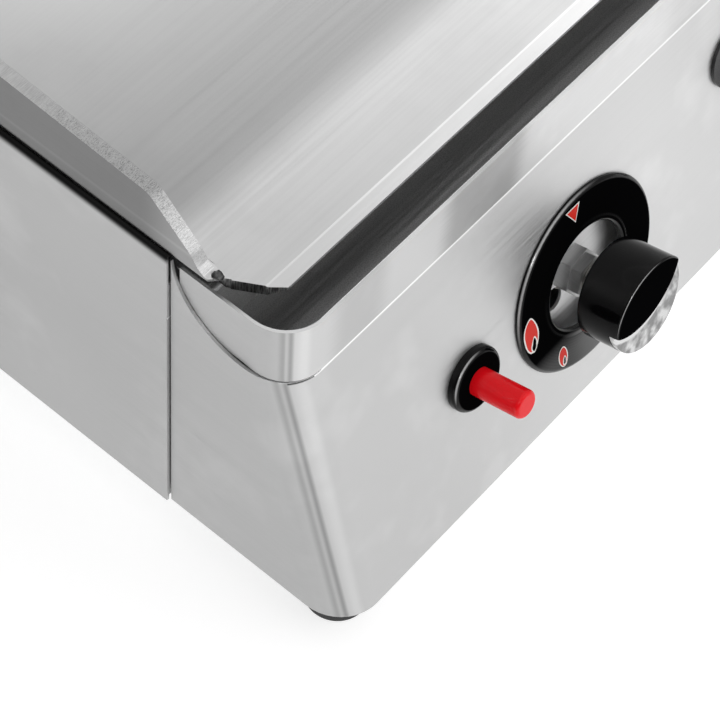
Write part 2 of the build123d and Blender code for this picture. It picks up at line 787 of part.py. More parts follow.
def electrode_lead(x):
    """High-tension lead from the piezo to the electrode."""
    px = x + igniter_offset
    ex = x - 30
    d = burner_cross_d - burner_leg_r - 8
    start = panel_point(px, igniter_s, -44.05)
    points = [
        start,
        panel_point(px, igniter_s, -72),
        point(px + 14, 108, burner_h - 48),
        point(ex, d, burner_h - 46),
        point(ex, d, burner_h - 18.05),
    ]
    return bent_tube("electrode_lead", points, 1.6)


def thermocouple(x):
    """Flame-failure sensor: lead from the tap to a tip beside the burner."""
    d = burner_cross_d - burner_leg_r - 7
    tx = x + 34
    points = [
        panel_point(x + 7, dial_s, -42.05),
        panel_point(x + 7, dial_s, -66),
        point(x + 22, 105, burner_h - 50),
        point(tx, d, burner_h - 45),
        point(tx, d, burner_h - 14),
    ]
    lead = bent_tube("thermocouple", points, 1.5)
    tip = rod(point(tx, d, burner_h - 13.95), point(tx, d, burner_h + 24), 2.8)
    neck = rod(point(tx, d, burner_h - 16), point(tx, d, burner_h - 13), 1.5)
    return lead + neck + tip


def sight_tube(x):
    """Black sleeve through the panel for looking at the flame."""
    flange = disc(12.5, 0.05, 1.6, 8.0)
    sleeve = disc(10.0, -14, 1.0, 8.0)
    return on_panel(x + sight_offset, sight_s, flange + sleeve)


def screws():
    """Set screws that hold the feet to the base, and the screws of the rear panel."""
    shapes = Part()
    base_top_h = 2 * sheet + fit_gap
    for x, d in foot_places.values():
        shapes += rod(point(x, d, -14), point(x, d, base_top_h + 0.02), 4.0)
        shapes += Pos(*point(x, d, base_top_h)) * extrude(RegularPolygon(7.5, 6), amount=5.0)
    for sign in sides.values():
        x = sign * (half_width - rear_screw_inset)
        for h in rear_screw_heights:
            face = casing_depth + 0.05
            shapes += rod(point(x, casing_depth - 8, h), point(x, face + 0.05, h), 2.0)
            shapes += rod(point(x, face, h), point(x, face + 2.55, h), 4.0)
    return shapes


parts = {
    "front_panel": front_panel(),
    "side_panel_left": side_panel(),
    "side_panel_right": mirrored(side_panel()),
    "rear_panel": rear_panel(),
    "base_panel": base_panel(),
    "flue_box": flue_box(),
    "griddle_plate": griddle_plate(),
    "grease_trough": grease_trough(),
    "grease_drawer": grease_drawer(),
    "drawer_handle": drawer_handle(),
    "drawer_runner_left": drawer_runner(),
    "drawer_runner_right": mirrored(drawer_runner()),
    "plate_rail_left": plate_rail(),
    "plate_rail_right": mirrored(plate_rail()),
    "crossbar_front": crossbar(96),
    "crossbar_rear": crossbar(378),
    "burner_bracket_front": burner_bracket(176),
    "burner_bracket_rear": burner_bracket(350),
    "gas_manifold": gas_manifold(),
    "control_nuts": control_nuts(),
    "screws": screws(),
}
for place, (centre_x, centre_d) in foot_places.items():
    parts["foot_" + place] = foot(centre_x, centre_d)
for side, centre_x in dial_x.items():
    ignition_x = centre_x + igniter_offset
    parts["burner_" + side] = burner(centre_x)
    parts["injector_" + side] = injector(centre_x)
    parts["feed_pipe_" + side] = feed_pipe(centre_x)
    parts["tap_plate_" + side] = tap_plate(centre_x)
    parts["valve_body_" + side] = valve_body(centre_x)
    parts["tap_plug_" + side] = tap_plug(centre_x)
    parts["spindle_" + side] = spindle(centre_x)
    parts["bezel_" + side] = bezel(centre_x)
    parts["knob_" + side] = knob(centre_x)
    parts["knob_insert_" + side] = knob_insert(centre_x)
    parts["igniter_body_" + side] = igniter_body(ignition_x)
    parts["igniter_button_" + side] = igniter_button(ignition_x)
    parts["igniter_spring_" + side] = igniter_spring(ignition_x)
    parts["electrode_" + side] = electrode(centre_x)
    parts["electrode_lead_" + side] = electrode_lead(centre_x)
    parts["thermocouple_" + side] = thermocouple(centre_x)
    parts["sight_tube_" + side] = sight_tube(centre_x)
knob_overhang = front_y - min(part.bounding_box().min.Y for part in parts.values())
parts["inlet_connector"] = inlet_connector(knob_overhang)

for name, part in parts.items():
    export_step(part, "parts/" + name + ".step")
print(len(parts), "parts, front overhang", round(knob_overhang, 5))
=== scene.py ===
"""Looks for the flat top griddle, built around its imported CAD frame. Metres, in the CAD's own axes."""
import json
import math
import random

import bpy
from mathutils import Matrix, Vector


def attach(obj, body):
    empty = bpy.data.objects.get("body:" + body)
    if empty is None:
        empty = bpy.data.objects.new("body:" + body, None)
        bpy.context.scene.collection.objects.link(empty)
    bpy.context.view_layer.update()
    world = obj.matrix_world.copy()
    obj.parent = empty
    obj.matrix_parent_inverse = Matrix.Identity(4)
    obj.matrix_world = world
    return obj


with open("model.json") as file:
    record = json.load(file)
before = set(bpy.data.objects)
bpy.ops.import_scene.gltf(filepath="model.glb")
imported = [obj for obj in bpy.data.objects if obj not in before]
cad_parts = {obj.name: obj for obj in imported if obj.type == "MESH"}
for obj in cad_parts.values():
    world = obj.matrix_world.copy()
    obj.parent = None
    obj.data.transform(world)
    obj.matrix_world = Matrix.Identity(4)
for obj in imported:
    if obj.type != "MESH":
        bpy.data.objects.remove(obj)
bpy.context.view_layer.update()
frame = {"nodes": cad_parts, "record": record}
nodes = frame["nodes"]

# Sloped control panel, as in the CAD: s runs up the slope and n outwards from it
PANEL_LEAN = math.radians(16.0)
PANEL_X = Vector((1, 0, 0))
PANEL_S = Vector((0, math.sin(PANEL_LEAN), math.cos(PANEL_LEAN)))
PANEL_N = Vector((0, -math.cos(PANEL_LEAN), math.sin(PANEL_LEAN)))
CASING_FRONT_Y = -0.225
CASING_LOW_Z = 0.025
PANEL_ORIGIN = Vector((0, CASING_FRONT_Y, CASING_LOW_Z))
DIAL_X = {"left": -148.5, "right": 148.5}
DIAL_S = 57.2
MM = 0.001
CREASE_S = 125.1
DIAL_Z = CASING_LOW_Z + DIAL_S * math.cos(PANEL_LEAN) * MM
CREASE_Z = CASING_LOW_Z + CREASE_S * math.cos(PANEL_LEAN) * MM
CRESCENT_CENTRE = (-5.0, 15.0)
KNOB_RIM_N = 29.4

# Where the materials' masks lie, in metres: z is a height, y a depth and x a distance from the middle
# Casing: rolled lips under painted shade, painted brighter middle, front region and half height of the
# fold's line, where a painted highlight runs
LIP_SHADE_Z = (0.1764, 0.1799)
MIDDLE_LIGHT_X = (0.27, 0.10)
FRONT_Y = -0.10
CREASE_HALF = 0.0004
# Plate: painted brighter middle and front strip, ground wall edge, painted highlight at the walls' bend, cut
# corners, and bevel with painted shade and a painted highlight on its ridge
PLATE_LIGHT_X = (0.29, 0.06)
STRIP_LIGHT_Y = (-0.126, -0.146)
WALL_X = 0.2936
WALL_LOW_Z = 0.1829
WALL_BEND_HIGHLIGHT_Z = (0.1882, 0.1896)
SPECK_Y = (-0.150, -0.085)
CUT_X = 0.2795
CUT_TOP_Z = 0.18235
CUT_BACK_Y = -0.1545
BEVEL_Y = -0.1710
RIDGE_HIGHLIGHT_Y = (-0.1709, -0.1702)
# Trough: painted light on its front and a painted highlight on the bend of its ledge
TROUGH_LIGHT_Y = (-0.169, -0.188)
LEDGE_Y = (-0.1562, -0.1535)
LEDGE_Z = 0.1712
# Dial plates: lower part greyed by painted reflection, with reflection rings this many radians per metre,
# above the igniters' lower edge
DIAL_REFLECTION_Z = (0.064, 0.052)
FLANGE_TOP_Z = 0.039
REFLECTION_RING_RATE = 5200.0
GLOSS_BLACK = (0.002, 0.002, 0.0022)
# Crescent: radius at which its painted highlight strip along the inner edge ends
CRESCENT_HIGHLIGHT_STRIP = (0.0240, 0.0250)

# Soft reflections along the rim band: centre, half width and depth
BAND_PATCHES = ((0.197, 0.020, 0.30), (0.262, 0.012, 0.15))
# Painted reflection streaks, upright round the front corners: sideways normals from and to, softness, and
# depth
CORNER_REFLECTION_STREAKS = ((0.74, 0.81, 0.04, 0.26), (0.635, 0.705, 0.035, 0.40), (0.34, 0.54, 0.08, -0.12))


def panel_point(x, s, n):
    """Point in metres from millimetres along the panel's own axes."""
    return PANEL_ORIGIN + (PANEL_X * x + PANEL_S * s + PANEL_N * n) * MM


# Node helpers
def set_range(node, low, high, to_low, to_high):
    """Fill in the four ends of a map range node."""
    for socket, value in zip(("From Min", "From Max", "To Min", "To Max"), (low, high, to_low, to_high)):
        node.inputs[socket].default_value = value


class Nodes:
    """Short calls for wiring one material's node tree."""

    def __init__(self, name):
        self.material = bpy.data.materials.new(name)
        self.material.use_nodes = True
        self.tree = self.material.node_tree
        self.bsdf = self.tree.nodes["Principled BSDF"]
        self.coords = self.tree.nodes.new("ShaderNodeTexCoord").outputs["Object"]

    def link(self, source, target):
        self.tree.links.new(source, target)

    def noise(self, scale, detail=3.0, stretch=(1, 1, 1), rough=0.5):
        mapping = self.tree.nodes.new("ShaderNodeMapping")
        mapping.inputs["Scale"].default_value = stretch
        self.link(self.coords, mapping.inputs["Vector"])
        noise = self.tree.nodes.new("ShaderNodeTexNoise")
        noise.inputs["Scale"].default_value = scale
        noise.inputs["Detail"].default_value = detail
        noise.inputs["Roughness"].default_value = rough
        self.link(mapping.outputs["Vector"], noise.inputs["Vector"])
        return noise.outputs["Fac"]

    def remap(self, source, low, high, to_low, to_high, smooth=False):
        node = self.tree.nodes.new("ShaderNodeMapRange")
        node.interpolation_type = "SMOOTHSTEP" if smooth else "LINEAR"
        set_range(node, low, high, to_low, to_high)
        self.link(source, node.inputs["Value"])
        return node.outputs["Result"]

    def math(self, operation, a, b=None):
        node = self.tree.nodes.new("ShaderNodeMath")
        node.operation = operation
        for socket, value in zip(node.inputs, (a, b)):
            if value is None:
                continue
            if isinstance(value, (int, float)):
                socket.default_value = value
            else:
                self.link(value, socket)
        return node.outputs[0]

    def mix(self, factor, a, b):
        """Colour mix; a and b are colours or sockets."""
        node = self.tree.nodes.new("ShaderNodeMix")
        node.data_type = "RGBA"
        for name, value in (("Factor", factor), ("A", a), ("B", b)):
            socket = [s for s in node.inputs if s.name == name and s.enabled][0]
            if isinstance(value, (int, float)):
                socket.default_value = value
            elif isinstance(value, tuple):
                socket.default_value = (*value, 1.0)
            else:
                self.link(value, socket)
        return [s for s in node.outputs if s.enabled][0]

    def grey(self, value):
        node = self.tree.nodes.new("ShaderNodeCombineColor")
        for socket in node.inputs:
            self.link(value, socket)
        return node.outputs["Color"]

    def split(self, vector):
        node = self.tree.nodes.new("ShaderNodeSeparateXYZ")
        self.link(vector, node.inputs[0])
        return node.outputs["X"], node.outputs["Y"], node.outputs["Z"]

    def normal(self):
        """World normal of the surface; the casing's axes are the world's."""
        return self.split(self.tree.nodes.new("ShaderNodeNewGeometry").outputs["Normal"])

    def position(self):
        return self.split(self.coords)

    def bump(self, height, strength, distance):
        node = self.tree.nodes.new("ShaderNodeBump")
        node.inputs["Strength"].default_value = strength
        node.inputs["Distance"].default_value = distance
        self.link(height, node.inputs["Height"])
        self.link(node.outputs["Normal"], self.bsdf.inputs["Normal"])

    def band(self, value, low, high, soft):
        """1 between low and high, with soft edges."""
        rise = self.remap(value, low - soft, low + soft, 0, 1, True)
        fall = self.remap(value, high - soft, high + soft, 1, 0, True)
        return self.math("MULTIPLY", rise, fall)


def brushed(name, tone, rough, contrast=0.10, grain=0.5, side_shade_tone=None):
    """Brushed metal with its grain along X, or along Y on faces that look sideways."""
    m = Nodes(name)
    normal_x, normal_y, normal_z = m.normal()
    sideways = m.remap(m.math("ABSOLUTE", normal_x), 0.5, 0.8, 0, 1, True)
    along_x = m.noise(900, 3, (0.012, 1, 1))
    along_y = m.noise(900, 3, (1, 0.012, 1))
    lines = m.mix(sideways, m.grey(along_x), m.grey(along_y))
    lines = m.split(lines)[0]
    cloud = m.noise(7, 2, (1, 1, 1))
    value = m.remap(lines, 0.3, 0.7, tone * (1 - contrast), tone * (1 + contrast))
    value = m.math("MULTIPLY", value, m.remap(cloud, 0.3, 0.7, 0.96, 1.04))
    # painted shade on faces that look sideways
    if side_shade_tone is not None:
        value = m.math("MULTIPLY", value, m.remap(sideways, 0, 1, 1.0, side_shade_tone / tone))
    m.value = value
    m.link(m.remap(lines, 0.3, 0.7, rough * 0.85, rough * 1.15), m.bsdf.inputs["Roughness"])
    m.bsdf.inputs["Metallic"].default_value = 1.0
    m.bump(lines, grain, 0.00002)
    m.lines = lines
    return m


def colour_metal(m, tint=(1.0, 1.0, 1.0)):
    """Give the brushed value a tint and link it up."""
    node = m.tree.nodes.new("ShaderNodeVectorMath")
    node.operation = "MULTIPLY"
    m.link(m.grey(m.value), node.inputs[0])
    node.inputs[1].default_value = tint
    m.link(node.outputs[0], m.bsdf.inputs["Base Color"])
    return m.material


def plastic(name, colour, rough, specular=0.5, grain=0.05, variation=0.15):
    """Moulded or enamelled surface with a faint cloud and a fine grain."""
    m = Nodes(name)
    cloud = m.noise(60, 3)
    fine = m.noise(1800, 2)
    dark = tuple(c * (1 - variation) for c in colour)
    light = tuple(min(1.0, c * (1 + variation)) for c in colour)
    m.link(m.mix(cloud, dark, light), m.bsdf.inputs["Base Color"])
    m.link(m.remap(cloud, 0.3, 0.7, rough * 0.8, rough * 1.2), m.bsdf.inputs["Roughness"])
    m.bsdf.inputs["Specular IOR Level"].default_value = specular
    m.bump(fine, grain, 0.00003)
    return m


def scale_value(m, factor):
    """Multiply the tone that a brushed metal has so far."""
    m.value = m.math("MULTIPLY", m.value, factor)


def casing_steel(name="casing_steel", shaded_lip=False):
    """Stainless sheet with painted light and shade: brighter middle and rim band, darker sides, painted
    reflection streaks round the front corners, a painted highlight along the fold under the rim band, and
    painted shade where the fold runs round the corners and on rolled lips.
    """
    m = brushed(name, 0.53, 0.50, 0.03, 0.10)
    normal_x, normal_y, normal_z = m.normal()
    x, y, z = m.position()
    side_on = m.math("ABSOLUTE", normal_x)
    # painted light: brighter towards the middle; painted shade on faces that look sideways; painted light on
    # the rim band at the front
    scale_value(m, m.remap(m.math("ABSOLUTE", x), *MIDDLE_LIGHT_X, 1.0, 1.20, True))
    scale_value(m, m.remap(side_on, 0.55, 0.95, 1.08, 0.90, True))
    ahead = m.math("LESS_THAN", y, FRONT_Y)
    band = m.math("MULTIPLY", m.math("GREATER_THAN", z, CREASE_Z), m.math("LESS_THAN", side_on, 0.75))
    band = m.math("MULTIPLY", band, ahead)
    scale_value(m, m.remap(band, 0, 1, 1, 1.10))
    # soft reflections of the room along the rim band
    streaky = m.math("ADD", m.math("ABSOLUTE", x), m.remap(m.lines, 0.3, 0.7, -0.0012, 0.0012))
    for place, width, depth in BAND_PATCHES:
        patch = m.math("MULTIPLY", m.band(streaky, place - width, place + width, 0.006), band)
        scale_value(m, m.remap(patch, 0, 1, 1, 1 - depth))
    smudge = m.remap(m.noise(24, 3, (1, 1, 1), 0.6), 0.50, 0.72, 1.0, 1.08, True)
    scale_value(m, smudge)
    # painted reflections: upright dark streaks, and one pale, round the front corners
    upright = m.math("LESS_THAN", m.math("ABSOLUTE", normal_z), 0.5)
    for low, high, soft, depth in CORNER_REFLECTION_STREAKS:
        reflection_streak = m.math("MULTIPLY", m.band(side_on, low, high, soft), upright)
        scale_value(m, m.remap(reflection_streak, 0, 1, 1, 1 - depth))
    # painted highlight along the fold under the rim band, and painted shade where the fold runs round the
    # front corners
    crease = m.band(z, CREASE_Z - CREASE_HALF, CREASE_Z + CREASE_HALF, 0.0003)
    crease = m.math("MULTIPLY", crease, ahead)
    fold_highlight = m.math("MULTIPLY", crease, m.math("LESS_THAN", side_on, 0.2))
    scale_value(m, m.remap(fold_highlight, 0, 1, 1, 1.9))
    pinch_shade = m.math("MULTIPLY", crease, m.band(side_on, 0.2, 0.64, 0.01))
    scale_value(m, m.remap(pinch_shade, 0, 1, 1, 0.12))
    # painted shade on the side panels' rolled lips, under the plate's walls
    if shaded_lip:
        scale_value(m, m.remap(z, *LIP_SHADE_Z, 1.0, 0.04, True))
    return colour_metal(m)


def plate_steel():
    """Ground plate with painted shade on its outer walls, painted light on its middle and front strip, a
    bright ground wall edge and dark, torn corner cuts.
    """
    # outer walls that look sideways take painted shade
    m = brushed("plate_steel", 0.44, 0.34, 0.025, 0.0, side_shade_tone=0.24)
    x, y, z = m.position()
    normal_x, normal_y, normal_z = m.normal()
    far = m.math("ABSOLUTE", x)
    sideways = m.remap(m.math("ABSOLUTE", normal_x), 0.5, 0.8, 0, 1, True)
    # painted light: brighter middle and a brighter front strip
    scale_value(m, m.remap(far, *PLATE_LIGHT_X, 0.72, 1.30, True))
    scale_value(m, m.remap(y, *STRIP_LIGHT_Y, 1.0, 1.70, True))
    scale_value(m, m.remap(m.noise(16, 4, (1, 1, 1), 0.62), 0.45, 0.75, 1.0, 0.93, True))
    # painted highlight along the bend of the outer walls
    wall_bend_highlight = m.math("MULTIPLY", m.band(z, *WALL_BEND_HIGHLIGHT_Z, 0.0007), sideways)
    scale_value(m, m.remap(wall_bend_highlight, 0, 1, 1, 1.18))
    # ground edge of the walls, hatched across, with dark specks near the front
    edge = m.math("MULTIPLY", m.math("GREATER_THAN", far, WALL_X), m.math("GREATER_THAN", z, WALL_LOW_Z))
    edge = m.math("MULTIPLY", edge, m.math("SUBTRACT", 1.0, sideways))
    hatch = m.noise(4600, 2, (0.06, 1, 1))
    specks = m.noise(4800, 3, (0.3, 1, 1))
    near = m.band(y, *SPECK_Y, 0.015)
    dark = m.remap(specks, 0.48, 0.66, 1.0, 0.5, True)
    dark = m.math("SUBTRACT", 1.0, m.math("MULTIPLY", near, m.math("SUBTRACT", 1.0, dark)))
    shine = m.math("MULTIPLY", m.remap(hatch, 0.35, 0.65, 1.0, 1.36), dark)
    scale_value(m, m.math("ADD", 1.0, m.math("MULTIPLY", edge, m.math("SUBTRACT", shine, 1.0))))
    # cut front corners: dark and striated
    corner = m.math("MULTIPLY", m.math("GREATER_THAN", far, CUT_X), m.math("LESS_THAN", z, CUT_TOP_Z))
    facing = m.math("LESS_THAN", normal_z, 0.6)
    corner = m.math("MULTIPLY", m.math("MULTIPLY", corner, facing), m.math("LESS_THAN", y, CUT_BACK_Y))
    striae = m.remap(m.noise(1900, 3, (1, 1, 0.12)), 0.38, 0.62, 0.14, 0.60)
    scale_value(m, m.math("ADD", 1.0, m.math("MULTIPLY", corner, m.math("SUBTRACT", striae, 1.0))))
    # bevel's upper face: painted shade, with a painted highlight along its ridge
    upward = m.math("GREATER_THAN", normal_z, 0.3)
    bevel = m.math("MULTIPLY", m.math("LESS_THAN", y, BEVEL_Y), upward)
    scale_value(m, m.remap(bevel, 0, 1, 1, 0.90))
    ridge_highlight = m.math("MULTIPLY", m.band(y, *RIDGE_HIGHLIGHT_Y, 0.0003), upward)
    scale_value(m, m.remap(ridge_highlight, 0, 1, 1, 1.05))
    return colour_metal(m)


def trough_steel():
    """Speckled trough, with painted light towards the front and a painted highlight along the bend of its
    ledge.
    """
    m = brushed("trough_steel", 0.50, 0.40, 0.06, 0.3)
    x, y, z = m.position()
    speck = m.noise(2200, 2)
    scale_value(m, m.remap(speck, 0.35, 0.6, 0.8, 1.1))
    # painted light: paler towards the front
    scale_value(m, m.remap(y, *TROUGH_LIGHT_Y, 0.85, 2.1, True))
    # painted highlight along the bend of the ledge, and painted light on the ledge's top
    bend_highlight = m.band(y, *LEDGE_Y, 0.0008)
    ledge = m.math("GREATER_THAN", z, LEDGE_Z)
    scale_value(m, m.remap(m.math("MULTIPLY", bend_highlight, ledge), 0, 1, 1, 2.6))
    scale_value(m, m.remap(m.math("MULTIPLY", m.math("GREATER_THAN", y, LEDGE_Y[1]), ledge), 0, 1, 1, 1.5))
    return colour_metal(m)


def black_gloss():
    """Glossy black; painted reflection greys the lower part of each dial plate, with rings, and a painted
    highlight runs along the upper left of each moulded edge.
    """
    m = plastic("black_gloss", GLOSS_BLACK, 0.11, 0.10)
    x, y, z = m.position()
    # painted reflection: the lower part of each dial plate gets more specular, with rings; faces turned
    # straight out get less, a painted shade
    low = m.remap(z, *DIAL_REFLECTION_Z, 0.0, 1.0, True)
    flat = m.math("GREATER_THAN", z, FLANGE_TOP_Z)
    far = m.math("ABSOLUTE", x)
    right = m.remap(far, DIAL_X["right"] * MM + 0.016, DIAL_X["right"] * MM - 0.004, 0.25, 1.0, True)
    lower_reflection = m.math("MULTIPLY", m.math("MULTIPLY", low, flat), right)
    across = m.math("SUBTRACT", far, DIAL_X["right"] * MM)
    up = m.math("MULTIPLY", m.math("SUBTRACT", z, DIAL_Z), 1.04)
    radius = m.math("SQRT", m.math("ADD", m.math("POWER", across, 2.0), m.math("POWER", up, 2.0)))
    reflection_rings = m.math("SINE", m.math("MULTIPLY", radius, REFLECTION_RING_RATE))
    normal_x, normal_y, normal_z = m.normal()
    outward = m.math("ADD", m.math("MULTIPLY", normal_y, PANEL_N.y), m.math("MULTIPLY", normal_z, PANEL_N.z))
    base_level = m.remap(outward, 0.90, 0.985, 0.16, 0.0, True)
    level = m.math("ADD", base_level, m.math("MULTIPLY", lower_reflection, m.remap(reflection_rings, -1, 1, 0.90, 1.15)))
    # painted highlight: paler line along the upper left of each moulded edge
    along = m.math("ADD", m.math("MULTIPLY", normal_y, PANEL_S.y), m.math("MULTIPLY", normal_z, PANEL_S.z))
    leftward = m.math("ADD", m.math("MULTIPLY", along, 0.75), m.math("MULTIPLY", normal_x, -0.65))
    edge = m.math("MULTIPLY", m.band(outward, 0.58, 0.82, 0.08), m.remap(leftward, 0.35, 0.75, 0, 1, True))
    level = m.math("ADD", level, m.math("MULTIPLY", edge, 0.5))
    m.link(level, m.bsdf.inputs["Specular IOR Level"])
    m.link(m.mix(edge, GLOSS_BLACK, (0.45, 0.45, 0.45)), m.bsdf.inputs["Base Color"])
    return m.material


def crescent_metal():
    """Plated crescent of the knob's face: a painted highlight along its inner edge, cloudy outside."""
    m = brushed("chrome", 0.36, 0.20, 0.03, 0.1)
    x, y, z = m.position()
    scale_value(m, m.remap(m.noise(190, 2), 0.35, 0.65, 0.62, 1.7, True))
    across = m.math("SUBTRACT", x, m.remap(x, -0.001, 0.001, -DIAL_X["right"] * MM, DIAL_X["right"] * MM))
    across = m.math("SUBTRACT", across, CRESCENT_CENTRE[0] * MM)
    lift = CRESCENT_CENTRE[1] * math.cos(PANEL_LEAN) + KNOB_RIM_N * math.sin(PANEL_LEAN)
    up = m.math("SUBTRACT", z, DIAL_Z + lift * MM)
    up = m.math("DIVIDE", up, math.cos(PANEL_LEAN))
    radius = m.math("SQRT", m.math("ADD", m.math("POWER", across, 2.0), m.math("POWER", up, 2.0)))
    # painted highlight along the crescent's inner edge
    strip_highlight = m.remap(radius, *CRESCENT_HIGHLIGHT_STRIP, 1.0, 0.0, True)
    cloudy = m.math("MULTIPLY", m.value, m.math("SUBTRACT", 1.0, strip_highlight))
    m.value = m.math("ADD", cloudy, m.math("MULTIPLY", strip_highlight, 0.66))
    return colour_metal(m)


MATERIALS = {
    "stainless_sheet": casing_steel(),
    "plate_steel": plate_steel(),
    "trough_steel": trough_steel(),
    "galvanised_steel": colour_metal(brushed("galvanised_steel", 0.55, 0.40, 0.15), (0.97, 1.0, 1.0)),
    "burner_steel": colour_metal(brushed("burner_steel", 0.36, 0.42, 0.15), (1.0, 0.95, 0.9)),
    "pipe_steel": colour_metal(brushed("pipe_steel", 0.30, 0.50, 0.1)),
    "nickel_plate": colour_metal(brushed("nickel_plate", 0.50, 0.25, 0.06), (1.0, 0.97, 0.92)),
    "brass": colour_metal(brushed("brass", 0.72, 0.25, 0.06), (1.0, 0.76, 0.39)),
    "aluminium_tube": colour_metal(brushed("aluminium_tube", 0.75, 0.32, 0.06)),
    "zinc_fasteners": colour_metal(brushed("zinc_fasteners", 0.50, 0.42, 0.08)),
    "bright_steel": colour_metal(brushed("bright_steel", 0.72, 0.18, 0.05)),
    "black_gloss": black_gloss(),
    "black_matte": plastic("black_matte", (0.025, 0.025, 0.026), 0.42, 0.4, 0.25).material,
    "chrome": crescent_metal(),
    "red_button": plastic("red_button", (0.86, 0.006, 0.012), 0.14, 0.22, 0.03, 0.1).material,
    "white_ceramic": plastic("white_ceramic", (0.85, 0.84, 0.80), 0.2, 0.5, 0.05, 0.04).material,
    "lead_silicone": plastic("lead_silicone", (0.5, 0.12, 0.07), 0.5, 0.4, 0.2).material,
    "copper": colour_metal(brushed("copper", 0.72, 0.3, 0.08), (1.0, 0.62, 0.42)),
    "black_enamel": plastic("black_enamel", (0.013, 0.013, 0.014), 0.25, 0.4).material,
    "weld": colour_metal(brushed("weld", 0.10, 0.45, 0.5, 0.8)),
    "red_print": plastic("red_print", (0.70, 0.024, 0.013), 0.3, 0.08, 0.03, 0.12).material,
    "black_rubber": plastic("black_rubber", (0.013, 0.013, 0.014), 0.6, 0.3, 0.4, 0.3).material,
}

# Edge rounding, in metres, for the kinds of piece that aren't moulded smooth already
ROUNDING = {"sheet": 0.00035, "plate": 0.0005, "small": 0.0002}


def soften(obj, width):
    """Small rounding on sharp edges, so that they catch the light."""
    weld = obj.modifiers.new("weld", "WELD")
    weld.merge_threshold = 0.000004
    bevel = obj.modifiers.new("bevel", "BEVEL")
    bevel.width = width
    bevel.segments = 2
    bevel.limit_method = "ANGLE"
    bevel.angle_limit = math.radians(35)
    bevel.use_clamp_overlap = True
    normals = obj.modifiers.new("normals", "WEIGHTED_NORMAL")
    normals.keep_sharp = False
    normals.weight = 80


def dress_nodes():
    """Give each CAD node its material, and round the edges of sheets, plate and fasteners."""
    slots = {row["node"]: row["material_slot"] for row in frame["record"]["subparts"]}
    # side panels take a copy of the casing steel with painted shade on their lips
    lip_shaded = casing_steel("lip_shaded_steel", shaded_lip=True)
    # tap plates take a paler, rougher steel than galvanised, painted light in their shaded recess
    tap_steel_lit = colour_metal(brushed("tap_steel_lit", 0.92, 0.55, 0.05, 0.2))
    for name, obj in nodes.items():
        material = MATERIALS[slots[name]]
        if name.startswith("side_panel"):
            material = lip_shaded
        elif name.startswith("tap_plate"):
            material = tap_steel_lit
        if not obj.material_slots:
            obj.data.materials.append(material)
        for entry in obj.material_slots:
            entry.material = material
        # the buttons leave no red smear on the brushed panel
        if name.startswith("igniter_button"):
            obj.visible_glossy = False
        if name in ("front_panel", "side_panel_left", "side_panel_right", "grease_trough"):
            soften(obj, ROUNDING["sheet"])
        elif name == "griddle_plate":
            soften(obj, ROUNDING["plate"])
        elif slots[name] in ("zinc_fasteners", "chrome", "stainless_sheet"):
            soften(obj, ROUNDING["small"])


# Printed marks on the dial plates, in millimetres from the dial's centre (across, up the slope)
MARK_N = 2.12
FLAME_LARGE = (
    (-33.4, 6.3), (-31.2, 3.2), (-29.8, -2.5), (-30.8, -7.6), (-33.2, -10.7), (-35.8, -10.3),
    (-37.7, -6.4), (-38.2, -0.5), (-36.6, 4.0),
)
DROP_LARGE = ((-32.6, -3.6), (-31.4, -6.4), (-32.0, -9.6), (-34.0, -11.2), (-35.2, -8.6), (-34.2, -5.8))
FLAME_SMALL = (
    (-18.0, -22.3), (-16.4, -25.0), (-16.2, -28.9), (-17.6, -32.2), (-19.8, -32.0), (-21.4, -28.8),
    (-21.3, -25.2), (-20.0, -22.9),
)
DROP_SMALL = ((-18.0, -27.2), (-17.2, -29.2), (-17.9, -31.6), (-19.4, -31.2), (-19.3, -28.8))
POINTER = ((0.8, 37.3), (-2.6, 29.4), (-7.4, 37.1))


def rounded(points, steps=6):
    """Closed smooth curve through points."""
    count = len(points)
    curve = []
    for i in range(count):
        p0, p1, p2, p3 = (Vector(points[(i + k - 1) % count]) for k in range(4))
        for step in range(steps):
            t = step / steps
            curve.append(0.5 * (
                2 * p1 + (p2 - p0) * t + (2 * p0 - 5 * p1 + 4 * p2 - p3) * t * t
                + (3 * p1 - p0 - 3 * p2 + p3) * t ** 3))
    return curve


def inset(points, distance):
    """Points moved towards their middle."""
    middle = sum(points, Vector((0, 0))) / len(points)
    return [p + (middle - p).normalized() * distance for p in points]


def make_marks(side):
    """Red pointer and two flame signs, printed in layers that each stand a little higher."""
    layers = {"white": [], "red": [], "black": []}
    pointer = [Vector(p) for p in POINTER]
    layers["white"].append((pointer, 0.04))
    layers["red"].append((inset(pointer, 0.9), 0.08))
    for flame, drop, line in ((FLAME_LARGE, DROP_LARGE, 0.75), (FLAME_SMALL, DROP_SMALL, 0.55)):
        layers["white"].append((rounded(flame), 0.04))
        layers["red"].append((inset(rounded(flame), line), 0.08))
        layers["white"].append((rounded(drop), 0.12))
        layers["black"].append((inset(rounded(drop), line), 0.16))
    inks = (
        ("white", "white_ceramic", "white_ceramic"),
        ("red", "red_button", "red_print"),
        ("black", "black_gloss", "black_gloss"),
    )
    for colour, slot, material in inks:
        vertices, faces = [], []
        for outline, top in layers[colour]:
            first = len(vertices)
            count = len(outline)
            for n in (MARK_N, MARK_N + top):
                vertices += [panel_point(DIAL_X[side] + p.x, DIAL_S + p.y, n) for p in outline]
            faces.append([first + count + i for i in range(count)])
            for i in range(count):
                j = (i + 1) % count
                faces.append([first + i, first + j, first + count + j, first + count + i])
        add_piece(f"mark_{colour}_{side}", vertices, faces, MATERIALS[material])


